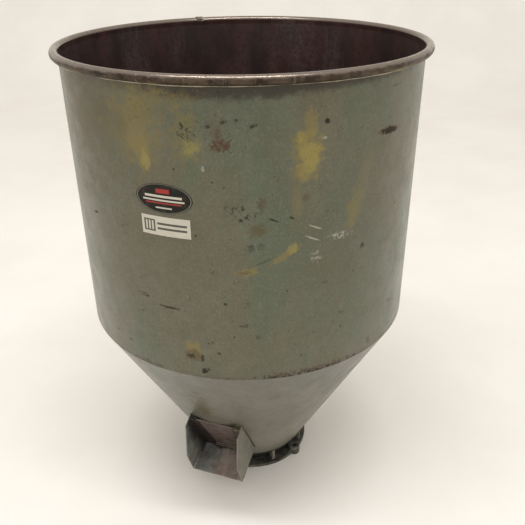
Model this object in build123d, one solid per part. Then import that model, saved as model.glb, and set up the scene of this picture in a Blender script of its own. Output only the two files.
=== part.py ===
from build123d import *
import os
from math import atan, cos, degrees, radians, sin, sqrt

# Sheet-steel material hopper: a rolled drum on a cone, a ringed outlet base and a side clean-out chute
# with a lift-up slide gate.  Millimetres, +Z up, origin on the drum's axis at floor level.
# The chute faces -Y.  Headings are degrees round +Z, counted from the chute towards +X.

# Drum
drum_diameter = 508.0
drum_height = 400.0          # from the crease to the centre of the rim wire
sheet = 1.5
rim_wire_radius = 4.5
rim_fold_gap_start = 214.0   # where the curled edge of the sheet stops short of the wall, degrees
rim_fold_gap_sweep = 9.0

# Cone and outlet
cone_drop = 289.5            # from the crease down to the collar
outlet_diameter = 193.6
collar_thickness = 3.0
throat_setback = 12.8        # from the cone's foot in to the throat
throat_wall = 3.0

# Base
window_height = 20.4
ring_thickness = 5.0
ring_lip = 5.2               # how far the ring stands out past the cone's foot
web_count = 8
web_thickness = 4.8
web_setback = 1.0            # how far the webs stand in from the cone's foot
lug_count = 4
lug_setback = 2.0            # from the ring's edge in to a lug's axis
lug_radius = 10.0
lug_height = 15.0
lug_hole_radius = 3.5
lug_chamfer = 0.8
lug_heading = 72.0

# Seams and welds
seam_heading = 218.4
seam_width = 6.0
seam_height = 1.0
girth_weld_leg = 4.0
throat_weld_leg = 3.0
rim_weld_length = 12.0
rim_weld_height = 1.2

# Chute: rises are above the cone's foot, reaches are out from the cone at that rise
chute_width = 91.4
chute_top_rise = 126.6
chute_shoulder_rise = 117.6
chute_shoulder_reach = 19.3
chute_lip_rise = 56.6
chute_lip_reach = 56.5
chute_toe_rise = 8.6
chute_toe_reach = 63.5
floor_root_rise = 27.7       # where the floor's underside meets the cone

# Gate
gate_half_width = 33.5
gate_thickness = 2.0
gate_top_rise = 124.6
gate_foot_rise = 34.6
gate_lip_depth = 5.5
gate_corner_radius = 2.6
gate_face_clearance = 0.4    # gate to cone, and gate to guide strip
gate_edge_clearance = 0.5
gate_foot_clearance = 0.2
strip_overlap_top = 4.0      # how far a guide strip reaches over the gate, at its top and at its foot
strip_overlap_foot = 12.9
strip_thickness = 1.5
port_half_width = 22.0
port_lap = 9.0               # how far the gate laps the port at its top and foot

# Stickers, placed by their rise above the crease
skin = 0.3
sticker_heading = -1.7
label_width = 66.7
label_height = 25.4
label_rise = 221.5
oval_width = 76.2
oval_height = 38.1
oval_rise = 258.2

# Values worked out from the sizes above
drum_radius = drum_diameter / 2
outlet_radius = outlet_diameter / 2
ring_radius = outlet_radius + ring_lip
lug_circle_radius = ring_radius - lug_setback
throat_radius = outlet_radius - throat_setback
collar_floor_z = ring_thickness + window_height
cone_foot_z = collar_floor_z + collar_thickness
crease_z = cone_foot_z + cone_drop
wire_z = crease_z + drum_height
cone_slope = (drum_radius - outlet_radius) / cone_drop
lean = degrees(atan(cone_slope))
cone_wall = sheet / cos(radians(lean))
curl_radius = rim_wire_radius + sheet
wire_circle_radius = drum_radius - sheet + curl_radius
rim_foot_z = wire_z - curl_radius
cheek_inner = chute_width / 2 - sheet
strip_floor = 2 * gate_face_clearance + gate_thickness
strip_inner_top = gate_half_width - strip_overlap_top
strip_inner_foot = gate_half_width - strip_overlap_foot
spacer_inner = gate_half_width + gate_edge_clearance
gate_foot_z = cone_foot_z + gate_foot_rise
guide_depth = cheek_inner ** 2 / outlet_radius    # more than the cone curves away under a guide
gate_top_z = cone_foot_z + gate_top_rise

# Plane that touches the cone under the chute: X across, Y up the slope, Z away from the cone
slope_plane = Plane(
    origin=(0, -drum_radius, crease_z),
    x_dir=(1, 0, 0),
    z_dir=(0, -cos(radians(lean)), -sin(radians(lean))),
)


def cone_radius(z):
    """Outer radius of the cone at a height."""
    return drum_radius - (crease_z - z) * cone_slope


def chute_point(rise, reach):
    """(distance from the axis, height) of a corner of the chute."""
    z = cone_foot_z + rise
    return cone_radius(z) + reach, z


def along_slope(z):
    """Distance along the slope plane's Y for a height on the cone's surface."""
    return (z - crease_z) / cos(radians(lean))


def turn(shape, heading):
    """A shape built facing the chute, turned to a heading."""
    return Rot(0, 0, heading) * shape


def spin(points, sweep=360.0):
    """Solid made by turning an outline of (radius, height) points round the axis."""
    outline = Plane.XZ * make_face(Polyline(*points, close=True))
    return revolve(outline, Axis.Z, sweep)


def ring(inner, outer, low, high):
    """Flat ring between two radii and two heights."""
    return spin([(inner, low), (outer, low), (outer, high), (inner, high)])


def slope_block(left, right, low, high, bottom, top):
    """Block in the slope plane: across, along the slope and away from the cone."""
    block = Box(right - left, high - low, top - bottom, align=(Align.MIN, Align.MIN, Align.MIN))
    return slope_plane * Pos(left, low, bottom) * block


def cone_core(offset=0.0):
    """The cone filled solid, with its surface pushed out by an offset."""
    grow = offset / cos(radians(lean))
    return spin([
        (0, crease_z),
        (drum_radius + grow, crease_z),
        (outlet_radius + grow, cone_foot_z),
        (0, cone_foot_z),
    ])


def drum_shell():
    """Rolled drum wall."""
    return ring(drum_radius - sheet, drum_radius, crease_z, rim_foot_z)


def rim_circle(radius):
    """Circle round the rim wire's centre, for the rim's section."""
    return Plane.XZ * Pos(wire_circle_radius, wire_z) * Circle(radius)


def rim_curl():
    """Rim hoop: a short wall on the drum's edge, curled outward round the wire."""
    first = radians(rim_fold_gap_start)
    last = radians(rim_fold_gap_start + rim_fold_gap_sweep)
    reach = 2 * curl_radius
    gap = Plane.XZ * Pos(wire_circle_radius, wire_z) * make_face(Polyline(
        (0, 0),
        (reach * cos(first), reach * sin(first)),
        (reach * cos(last), reach * sin(last)),
        close=True,
    ))
    curl = revolve(rim_circle(curl_radius) - rim_circle(rim_wire_radius) - gap, Axis.Z, 360)
    wall = ring(drum_radius - sheet, drum_radius, rim_foot_z, wire_z)
    return wall - revolve(rim_circle(rim_wire_radius), Axis.Z, 360) + curl


def rim_wire():
    """Wire ring inside the curl."""
    return revolve(rim_circle(rim_wire_radius), Axis.Z, 360)


def rim_joint_weld():
    """Weld that laps the two ends of the curled rim, clear of the drum's wall."""
    sweep = degrees(rim_weld_length / wire_circle_radius)
    lump = revolve(rim_circle(curl_radius + rim_weld_height), Axis.Z, sweep)
    bead = revolve(rim_circle(curl_radius), Axis.Z, 360)
    wall = ring(0, drum_radius, crease_z, wire_z)
    mouth = ring(0, drum_radius - sheet, wire_z, wire_z + 2 * curl_radius)
    return turn(turn(lump, -90 - sweep / 2) - bead - wall - mouth, seam_heading)


def drum_seam_weld():
    """Raised weld down the drum's closing seam."""
    top = rim_foot_z - rim_weld_height
    band = ring(drum_radius, drum_radius + seam_height, crease_z, top)
    slot = Pos(0, -drum_radius, crease_z) * Box(
        seam_width, drum_radius, drum_height, align=(Align.CENTER, Align.CENTER, Align.MIN))
    return turn(band & slot, seam_heading)


def girth_weld():
    """Fillet weld inside, where the cone meets the drum."""
    inner = drum_radius - cone_wall
    return spin([
        (drum_radius - sheet, crease_z + girth_weld_leg),
        (drum_radius - sheet, crease_z),
        (inner, crease_z),
        (inner - girth_weld_leg * sin(radians(lean)), crease_z - girth_weld_leg * cos(radians(lean))),
    ])


def cone_shell():
    """Cone with the port that the gate covers."""
    shell = spin([
        (drum_radius, crease_z),
        (outlet_radius, cone_foot_z),
        (outlet_radius - cone_wall, cone_foot_z),
        (drum_radius - cone_wall, crease_z),
    ])
    port = slope_block(
        -port_half_width, port_half_width,
        along_slope(gate_foot_z) + port_lap, along_slope(gate_top_z) - port_lap,
        -guide_depth, guide_depth)
    return shell - port


def cone_seam_weld():
    """Raised weld down the cone's closing seam."""
    skin_layer = cone_core(seam_height) - cone_core()
    strip = slope_block(
        -seam_width / 2, seam_width / 2,
        along_slope(cone_foot_z) + seam_width, -seam_width,
        -guide_depth, guide_depth)
    return turn(skin_layer & strip, seam_heading)


def throat_collar():
    """Flat ring round the throat that carries the cone's foot."""
    return ring(throat_radius, outlet_radius, collar_floor_z, cone_foot_z)


def throat_weld():
    """Fillet weld between the collar and the inside of the cone."""
    corner = outlet_radius - cone_wall
    leg = throat_weld_leg
    return spin([
        (corner, cone_foot_z),
        (corner - leg, cone_foot_z),
        (corner + leg * sin(radians(lean)), cone_foot_z + leg * cos(radians(lean))),
    ])


def throat_tube():
    """Outlet tube from the cone's foot down to the floor."""
    return ring(throat_radius - throat_wall, throat_radius, 0, cone_foot_z)


def lug_bar(radius, index):
    """Upright bar as tall as a lug, at a lug's place on its circle."""
    bar = Cylinder(radius, lug_height, align=(Align.CENTER, Align.CENTER, Align.MIN))
    return turn(Pos(0, -lug_circle_radius, 0) * bar, lug_heading + index * 360.0 / lug_count)


def base_ring():
    """Bottom ring, cut to let the lugs in."""
    body = ring(throat_radius, ring_radius, 0, ring_thickness)
    for index in range(lug_count):
        body -= lug_bar(lug_radius, index)
    return body


def base_lug(index):
    """Tubular lug with its bolt hole."""
    lug = lug_bar(lug_radius, index) - lug_bar(lug_hole_radius, index)
    return chamfer(lug.edges().sort_by(Axis.Z)[-2:], lug_chamfer)


def base_web(index):
    """Upright web between the ring and the collar."""
    band = ring(throat_radius, outlet_radius - web_setback, ring_thickness, collar_floor_z)
    slot = Pos(0, -outlet_radius, 0) * Box(
        web_thickness, 2 * (outlet_radius - throat_radius) + web_thickness, 2 * cone_foot_z)
    return turn(band & slot, index * 360.0 / web_count)


def side_plate(points, thickness):
    """Upright plate across the chute from an outline of (distance, height) points, centred on X."""
    outline = make_face(Polyline(*[(-distance, z) for distance, z in points], close=True))
    return extrude(Plane.YZ * outline, thickness / 2, both=True)


def floor_line():
    """Toe and root of the chute floor's underside, with the root carried on inside the cone, and its fall."""
    toe, toe_z = chute_point(chute_toe_rise, chute_toe_reach)
    foot, foot_z = chute_point(floor_root_rise, 0)
    fall = (foot_z - toe_z) / (toe - foot)
    root = outlet_radius / 2
    return (toe, toe_z), (root, toe_z + (toe - root) * fall), fall


def floor_slab(below):
    """Slab between the cheeks from the chute floor's top down past its underside by a distance."""
    (toe, toe_z), (root, root_z), fall = floor_line()
    rise = sheet * sqrt(1 + fall ** 2)
    return side_plate(
        [(toe, toe_z - below), (toe, toe_z + rise), (root, root_z + rise), (root, root_z - below)],
        2 * cheek_inner)


def chute_cheek(side):
    """Side wall of the chute, cut to sit on the cone."""
    toe, root, _ = floor_line()
    top_z = cone_foot_z + chute_top_rise
    plate = side_plate([
        (root[0], top_z),
        (sqrt(cone_radius(top_z) ** 2 - cheek_inner ** 2), top_z),
        chute_point(chute_shoulder_rise, chute_shoulder_reach),
        chute_point(chute_lip_rise, chute_lip_reach),
        toe,
        root,
    ], sheet)
    return Pos(side * (cheek_inner + sheet / 2), 0, 0) * plate - cone_core()


def chute_floor():
    """Sloping floor of the chute, between the cheeks."""
    return floor_slab(0) - cone_core()


def guide_trim(block):
    """A piece of guide cut to sit on the cone and stand on the chute floor."""
    return block - cone_core() - floor_slab(crease_z)


def guide_block(inner, outer, top, side):
    """Straight length of guide on one side, as thick as the gate with its clearances."""
    left, right = sorted((side * inner, side * outer))
    return guide_trim(slope_block(left, right, along_slope(cone_foot_z), top, -guide_depth, strip_floor))


def guide_spacer(side):
    """Bar beside the gate, cut to sit on the cone."""
    return guide_block(spacer_inner, cheek_inner, along_slope(gate_top_z), side)


def guide_strip(side):
    """Cover strip that holds the gate's edge down, wider towards the gate's foot."""
    low, foot, top = (along_slope(z) for z in (cone_foot_z, gate_foot_z, gate_top_z))
    outline = [
        (cheek_inner, low),
        (cheek_inner, top),
        (strip_inner_top, top),
        (strip_inner_foot, foot),
        (strip_inner_foot, low),
    ]
    face = make_face(Polyline(*[(side * across, up) for across, up in outline], close=True))
    return guide_trim(extrude(slope_plane * Pos(0, 0, strip_floor) * face, strip_thickness, slope_plane.z_dir))


def gate_stop(side):
    """Block at the foot of a guide that the closed gate stands on."""
    top = along_slope(gate_foot_z) - gate_foot_clearance
    return guide_block(strip_inner_top, spacer_inner, top, side)


def gate_plate():
    """Flat gate with its foot folded out as a short lip, narrow enough to pass between the strips."""
    foot = along_slope(gate_foot_z)
    top = along_slope(gate_top_z)
    low = gate_face_clearance
    plate = slope_block(-gate_half_width, gate_half_width, foot, top, low, low + gate_thickness)
    plate = fillet(plate.edges().filter_by(Axis(slope_plane.origin, slope_plane.z_dir)), gate_corner_radius)
    lip_half = strip_inner_foot - gate_edge_clearance
    lip = slope_block(-lip_half, lip_half, foot, foot + gate_thickness, low, low + gate_lip_depth)
    lip = fillet(
        lip.edges().filter_by(Axis(slope_plane.origin, slope_plane.y_dir)).sort_by(
            Axis(slope_plane.origin, slope_plane.z_dir))[-2:],
        gate_corner_radius)
    return plate + lip


def asset_label():
    """Plain printed label on the drum."""
    middle = crease_z + label_rise
    band = ring(drum_radius, drum_radius + skin, middle - label_height / 2, middle + label_height / 2)
    slot = Pos(0, -drum_radius, middle) * Box(label_width, drum_radius, label_height)
    return turn(band & slot, sticker_heading)


def oval_sticker():
    """Plain oval sticker above the label."""
    middle = crease_z + oval_rise
    band = ring(drum_radius, drum_radius + skin, middle - oval_height, middle + oval_height)
    outline = Plane.XZ * (Pos(0, middle) * Ellipse(oval_width / 2, oval_height / 2))
    return turn(band & extrude(outline, 2 * drum_radius), sticker_heading)


def build():
    """Every piece of the hopper by node name."""
    parts = {
        "drum_shell": drum_shell(),
        "rim_curl": rim_curl(),
        "rim_wire": rim_wire(),
        "rim_joint_weld": rim_joint_weld(),
        "drum_seam_weld": drum_seam_weld(),
        "girth_weld": girth_weld(),
        "cone_shell": cone_shell(),
        "cone_seam_weld": cone_seam_weld(),
        "throat_collar": throat_collar(),
        "throat_weld": throat_weld(),
        "throat_tube": throat_tube(),
        "base_ring": base_ring(),
        "chute_floor": chute_floor(),
        "gate_plate": gate_plate(),
        "asset_label": asset_label(),
        "oval_sticker": oval_sticker(),
    }
    for name, side in (("left", -1), ("right", 1)):
        parts[f"chute_cheek_{name}"] = chute_cheek(side)
        parts[f"guide_spacer_{name}"] = guide_spacer(side)
        parts[f"guide_strip_{name}"] = guide_strip(side)
        parts[f"gate_stop_{name}"] = gate_stop(side)
    for index in range(lug_count):
        parts[f"base_lug_{index + 1}"] = base_lug(index)
    for index in range(web_count):
        parts[f"base_web_{index + 1}"] = base_web(index)
    return parts


os.makedirs("parts", exist_ok=True)
for node, shape in build().items():
    solids = shape.solids()
    export_step(solids[0] if len(solids) == 1 else Compound(children=solids), f"parts/{node}.step")
    print(node, len(solids), round(sum(solid.volume for solid in solids)))
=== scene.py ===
"""Sheet-steel hopper with a side clean-out chute: finishes, welds and stage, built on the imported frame."""
import logging
import math
import random
from dataclasses import dataclass
from enum import Enum
from typing import Callable, Iterable, Optional, Sequence, Union

import bmesh
import bpy
from mathutils import Matrix, Vector


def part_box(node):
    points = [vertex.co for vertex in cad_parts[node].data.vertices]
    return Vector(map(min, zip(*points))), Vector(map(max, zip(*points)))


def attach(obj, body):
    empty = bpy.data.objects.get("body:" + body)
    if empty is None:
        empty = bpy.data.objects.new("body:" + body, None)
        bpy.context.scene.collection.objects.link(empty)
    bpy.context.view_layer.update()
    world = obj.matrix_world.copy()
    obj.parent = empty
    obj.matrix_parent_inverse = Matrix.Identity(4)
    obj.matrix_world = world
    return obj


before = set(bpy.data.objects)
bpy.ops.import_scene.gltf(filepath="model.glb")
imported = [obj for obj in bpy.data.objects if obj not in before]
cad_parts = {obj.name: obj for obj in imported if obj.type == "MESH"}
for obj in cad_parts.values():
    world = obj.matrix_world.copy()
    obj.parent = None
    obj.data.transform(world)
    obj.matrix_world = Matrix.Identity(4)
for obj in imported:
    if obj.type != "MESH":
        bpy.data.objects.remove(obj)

log = logging.getLogger("hopper")
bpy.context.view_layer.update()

Socket = bpy.types.NodeSocket
Value = Union[float, Socket]
Colour = tuple[float, float, float, float]


def linear(channel: int) -> float:
    """One screen channel, 0 to 255, as linear light from 0 to 1."""
    share = channel / 255.0
    return share / 12.92 if share <= 0.04045 else ((share + 0.055) / 1.055) ** 2.4


def srgb(red: int, green: int, blue: int) -> Colour:
    """A screen colour, 0 to 255 a channel, as linear light."""
    return (linear(red), linear(green), linear(blue), 1.0)


# ---------------------------------------------------------------------------------------------------------
# Sizes read from the frame
# ---------------------------------------------------------------------------------------------------------


@dataclass(frozen=True)
class Sizes:
    """The hopper's main sizes in metres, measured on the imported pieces.

    Heights are up from the floor: crease is the drum's foot, drum_top its head, and foot the cone's.  The
    wire's own radius, its circle round the drum and its height place the rim; curl is the curl's half height.
    Cheek and cheek_inner are a cheek's outer and inner face, out from the middle of the chute.
    """

    drum_radius: float
    sheet: float
    crease: float
    drum_top: float
    foot: float
    outlet_radius: float
    wire_radius: float
    wire_circle: float
    wire_height: float
    curl: float
    cheek: float
    cheek_inner: float

    @classmethod
    def from_frame(cls) -> "Sizes":
        """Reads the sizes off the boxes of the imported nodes.

        Returns:
            The sizes.
        """
        drum_low, drum_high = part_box("drum_shell")
        wire_low, wire_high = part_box("rim_wire")
        collar_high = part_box("throat_collar")[1]
        cheek_low, cheek_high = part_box("chute_cheek_right")
        wire_radius = (wire_high.z - wire_low.z) / 2
        wire_height = (wire_high.z + wire_low.z) / 2
        return cls(
            drum_radius=drum_high.x,
            sheet=cheek_high.x - cheek_low.x,
            crease=drum_low.z,
            drum_top=drum_high.z,
            foot=collar_high.z,
            outlet_radius=collar_high.x,
            wire_radius=wire_radius,
            wire_circle=wire_high.x - wire_radius,
            wire_height=wire_height,
            curl=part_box("rim_curl")[1].z - wire_height,
            cheek=cheek_high.x,
            cheek_inner=cheek_low.x,
        )

    @property
    def slope(self) -> float:
        """Growth of the cone's radius per unit of height."""
        return (self.drum_radius - self.outlet_radius) / (self.crease - self.foot)

    @property
    def lean(self) -> float:
        """Angle of the cone's side from upright, in radians."""
        return math.atan(self.slope)

    def cone_radius(self, height: float) -> float:
        """Outer radius of the cone at a height."""
        return self.outlet_radius + (height - self.foot) * self.slope


SIZES = Sizes.from_frame()


# ---------------------------------------------------------------------------------------------------------
# Node sketches
# ---------------------------------------------------------------------------------------------------------


BEVEL_SAMPLES = 4
EDGE_STEP = (0.995, 0.86)  # how well the rounded and the flat normal line up, off an edge and on it


class Sketch:
    """A material's node graph, drawn one node at a time."""

    def __init__(self, name: str) -> None:
        """Starts an empty material.

        Args:
            name: The material's name, in a maker's words.
        """
        self.material = bpy.data.materials.new(name)
        self.material.use_nodes = True
        self.tree = self.material.node_tree
        self.tree.nodes.clear()
        coordinates = self.tree.nodes.new("ShaderNodeTexCoord")
        self.place: Socket = coordinates.outputs["Object"]

    def feed(self, socket: Socket, value: Union[Value, Sequence[float]]) -> None:
        """Links a socket to another, or sets its plain value.

        Args:
            socket: The input that is fed.
            value: What feeds it.
        """
        if isinstance(value, bpy.types.NodeSocket):
            self.tree.links.new(value, socket)
        else:
            socket.default_value = value

    def math(self, operation: str, *values: Value, clamp: bool = False) -> Socket:
        """One Math node.

        Args:
            operation: The node's operation, such as "ADD".
            values: Its inputs in order.
            clamp: Whether the answer is held between 0 and 1.

        Returns:
            The answer's socket.
        """
        node = self.tree.nodes.new("ShaderNodeMath")
        node.operation = operation
        node.use_clamp = clamp
        for index, value in enumerate(values):
            self.feed(node.inputs[index], value)
        return node.outputs[0]

    def vector(self, operation: str, *values: Union[Socket, Sequence[float]]) -> Socket:
        """One Vector Math node.

        Args:
            operation: The node's operation, such as "MULTIPLY".
            values: Its inputs in order.

        Returns:
            The answer's socket, which is a number for LENGTH and DOT_PRODUCT.
        """
        node = self.tree.nodes.new("ShaderNodeVectorMath")
        node.operation = operation
        for index, value in enumerate(values):
            self.feed(node.inputs[index], value)
        return node.outputs["Value" if operation in {"LENGTH", "DOT_PRODUCT"} else "Vector"]

    def split(self, vector: Socket) -> tuple[Socket, Socket, Socket]:
        """A vector's three numbers.

        Args:
            vector: The vector.

        Returns:
            The sockets of its three numbers.
        """
        node = self.tree.nodes.new("ShaderNodeSeparateXYZ")
        self.feed(node.inputs[0], vector)
        return node.outputs[0], node.outputs[1], node.outputs[2]

    def join(self, x: Value, y: Value, z: Value = 0.0) -> Socket:
        """Three numbers as a vector.

        Args:
            x: The first.
            y: The second.
            z: The third.

        Returns:
            The vector's socket.
        """
        node = self.tree.nodes.new("ShaderNodeCombineXYZ")
        for index, value in enumerate((x, y, z)):
            self.feed(node.inputs[index], value)
        return node.outputs[0]

    def stretch(self, vector: Socket, by: Sequence[float]) -> Socket:
        """A vector multiplied along each axis."""
        return self.vector("MULTIPLY", vector, tuple(by))

    def noise(self, vector: Socket, scale: float, detail: float, rough: float) -> Socket:
        """Fractal noise between 0 and 1.

        Args:
            vector: Where it is read, in metres.
            scale: Cells per metre.
            detail: Octaves.
            rough: How strong the small octaves are.

        Returns:
            The noise's socket.
        """
        node = self.tree.nodes.new("ShaderNodeTexNoise")
        self.feed(node.inputs["Vector"], vector)
        node.inputs["Scale"].default_value = scale
        node.inputs["Detail"].default_value = detail
        node.inputs["Roughness"].default_value = rough
        return node.outputs["Fac"]

    def cells(self, vector: Socket, scale: float) -> Socket:
        """Distance to the nearest of scattered points.

        Args:
            vector: Where it is read, in metres.
            scale: Cells per metre.

        Returns:
            The distance's socket, in cells.
        """
        node = self.tree.nodes.new("ShaderNodeTexVoronoi")
        self.feed(node.inputs["Vector"], vector)
        node.inputs["Scale"].default_value = scale
        return node.outputs["Distance"]

    def ramp(self, value: Socket, low: float, high: float, start: float = 0.0, end: float = 1.0) -> Socket:
        """A smooth step.

        Args:
            value: What it follows.
            low: Value where the step starts.
            high: Value where it ends.
            start: Answer at low and past it.
            end: Answer at high and past it.

        Returns:
            The step's socket.
        """
        node = self.tree.nodes.new("ShaderNodeMapRange")
        node.interpolation_type = "SMOOTHSTEP"
        self.feed(node.inputs["Value"], value)
        for name, number in (("From Min", low), ("From Max", high), ("To Min", start), ("To Max", end)):
            node.inputs[name].default_value = number
        return node.outputs["Result"]

    def mix(self, share: Value, under: Union[Socket, Colour], over: Union[Socket, Colour]) -> Socket:
        """One colour laid over another.

        Args:
            share: How much of the upper colour shows.
            under: The lower colour.
            over: The upper colour.

        Returns:
            The mixed colour's socket.
        """
        node = self.tree.nodes.new("ShaderNodeMix")
        node.data_type = "RGBA"
        self.feed(node.inputs["Factor"], share)
        self.feed(node.inputs[6], under)
        self.feed(node.inputs[7], over)
        return node.outputs[2]

    def times(self, value: Value, by: Value) -> Socket:
        """The product of two numbers."""
        return self.math("MULTIPLY", value, by)

    def tint(self, colour: Union[Socket, Colour], shade: Union[Socket, Colour], mask: Socket,
             strength: float) -> Socket:
        """A colour with a shade laid over it where a mask shows, at a strength."""
        return self.mix(self.times(mask, strength), colour, shade)

    def patches(self, scale: float, low: float, high: float, detail: float, rough: float,
                stretch: Optional[Sequence[float]] = None, span: tuple[float, float] = (0.0, 1.0)) -> Socket:
        """Patches of fractal noise with soft edges.

        Args:
            scale: Noise cells per metre.
            low: Noise value at which a patch starts.
            high: Noise value at which it is full.
            detail: Octaves.
            rough: How strong the small octaves are.
            stretch: Multiplies the scale along each axis.
            span: Values outside and inside the patches.

        Returns:
            The mask's socket.
        """
        place = self.place if stretch is None else self.stretch(self.place, stretch)
        return self.ramp(self.noise(place, scale, detail, rough), low, high, *span)

    def bump(self, height: Socket, distance: float, strength: float,
             under: Optional[Socket] = None) -> Socket:
        """A bumped normal.

        Args:
            height: The relief, 0 to 1.
            distance: The relief's depth in metres.
            strength: How much of it shows.
            under: A normal to add to.

        Returns:
            The normal's socket.
        """
        node = self.tree.nodes.new("ShaderNodeBump")
        node.inputs["Strength"].default_value = strength
        node.inputs["Distance"].default_value = distance
        self.feed(node.inputs["Height"], height)
        if under is not None:
            self.feed(node.inputs["Normal"], under)
        return node.outputs["Normal"]

    def edges(self, reach: float) -> Socket:
        """Where sharp outer and inner edges are.

        Args:
            reach: How far from an edge it shows, in metres.

        Returns:
            A socket that goes from 0 on the flat to 1 on the edge.
        """
        rounded = self.tree.nodes.new("ShaderNodeBevel")
        rounded.samples = BEVEL_SAMPLES
        rounded.inputs["Radius"].default_value = reach
        flat = self.tree.nodes.new("ShaderNodeNewGeometry")
        lined_up = self.vector("DOT_PRODUCT", rounded.outputs["Normal"], flat.outputs["Normal"])
        return self.ramp(lined_up, *EDGE_STEP)

    def finish(self, colour: Union[Socket, Colour], rough: Value, normal: Optional[Socket] = None,
               metal: Value = 0.0, **others: Value) -> bpy.types.Material:
        """Closes the graph with its shader.

        Args:
            colour: Base colour.
            rough: Roughness.
            normal: Bumped normal.
            metal: Metallic share.
            others: Other sockets of the shader by name, with spaces written as underscores.

        Returns:
            The finished material.
        """
        shader = self.tree.nodes.new("ShaderNodeBsdfPrincipled")
        self.feed(shader.inputs["Base Color"], colour)
        self.feed(shader.inputs["Roughness"], rough)
        self.feed(shader.inputs["Metallic"], metal)
        if normal is not None:
            self.feed(shader.inputs["Normal"], normal)
        for name, value in others.items():
            self.feed(shader.inputs[name.replace("_", " ")], value)
        output = self.tree.nodes.new("ShaderNodeOutputMaterial")
        self.tree.links.new(shader.outputs[0], output.inputs[0])
        return self.material


# ---------------------------------------------------------------------------------------------------------
# Marks on the drum and the cone
# ---------------------------------------------------------------------------------------------------------


class Stain(Enum):
    """Kinds of mark, each with the colour it leaves."""

    OCHRE = srgb(114, 101, 50)
    YELLOW = srgb(136, 123, 58)
    OLIVE = srgb(74, 66, 34)
    BROWN = srgb(82, 70, 48)
    RUST = srgb(74, 50, 32)
    CHIP = srgb(30, 20, 7)
    PALE = srgb(156, 152, 138)
    GRIME = srgb(38, 31, 8)


@dataclass(frozen=True)
class Mark:
    """One mark on the drum or the cone.

    Heading is in degrees round from the chute, height is up from the floor, and wide and tall are its sizes,
    in metres.  Tilt turns it, in degrees.  Ragged breaks its outline, soft blurs it, and grain leaves gaps.
    """

    stain: Stain
    heading: float
    height: float
    wide: float
    tall: float
    tilt: float = 0.0
    ragged: float = 1.2
    soft: float = 0.35
    grain: float = 0.0
    strength: float = 1.0


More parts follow.
